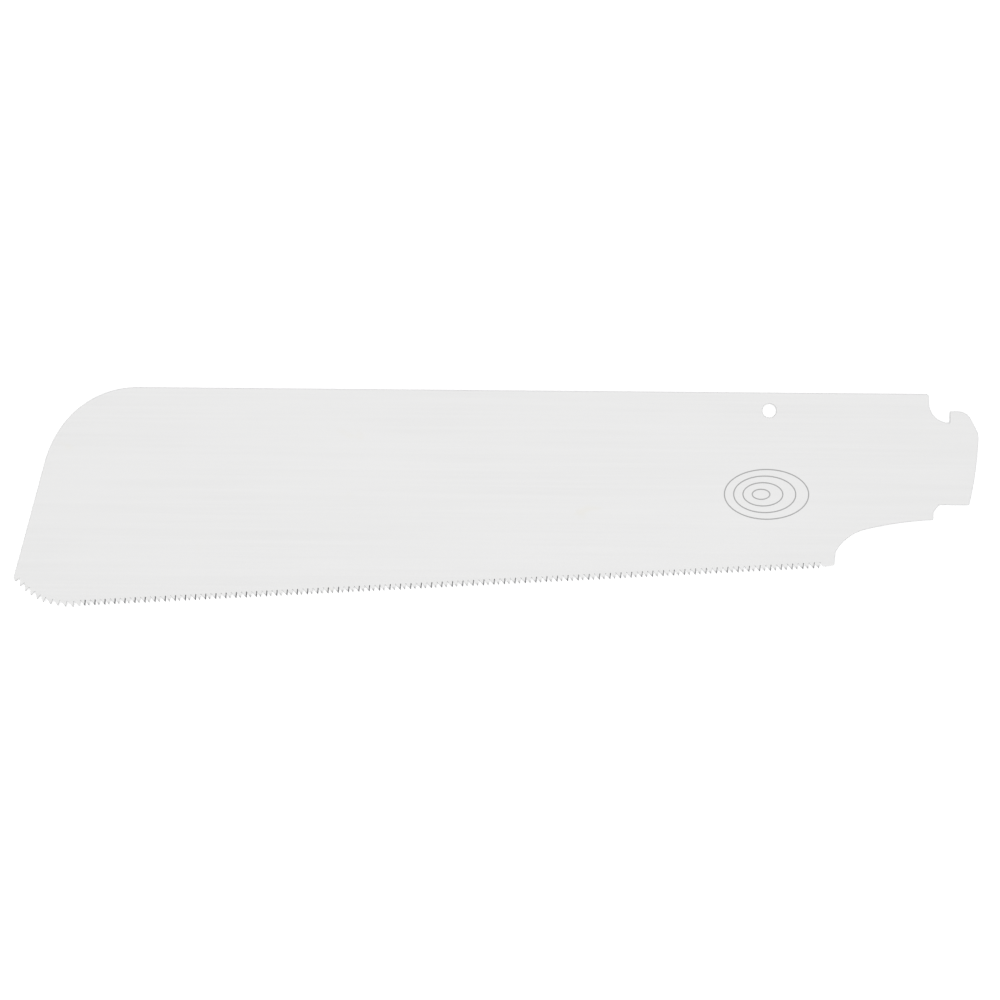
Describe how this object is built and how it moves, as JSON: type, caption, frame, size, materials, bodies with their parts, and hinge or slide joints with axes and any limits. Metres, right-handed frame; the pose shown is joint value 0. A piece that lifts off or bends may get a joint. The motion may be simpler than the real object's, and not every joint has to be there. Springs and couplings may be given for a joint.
{
  "type": "pull saw blade",
  "caption": "Replaceable flat blade of a pull saw with a rounded nose, toothed toe, fine set crosscut teeth, hanging hole and a hooked tang that latches on a pin in the handle.",
  "frame": {"origin": "middle of the blade's outline, at the height of its lowest set tooth tips, which it rests on when it lies flat", "axes": "+X runs along the back edge from the nose to the tang, +Y from the teeth up to the back edge, +Z through the sheet"},
  "size_m": [0.282, 0.0644, 0.0007],
  "materials": {
    "blade_steel": "pale satin, ground lengthwise, bare metal"
  },
  "bodies": {
    "root": {"saw_blade": "blade_steel"}
  },
  "joints": []
}
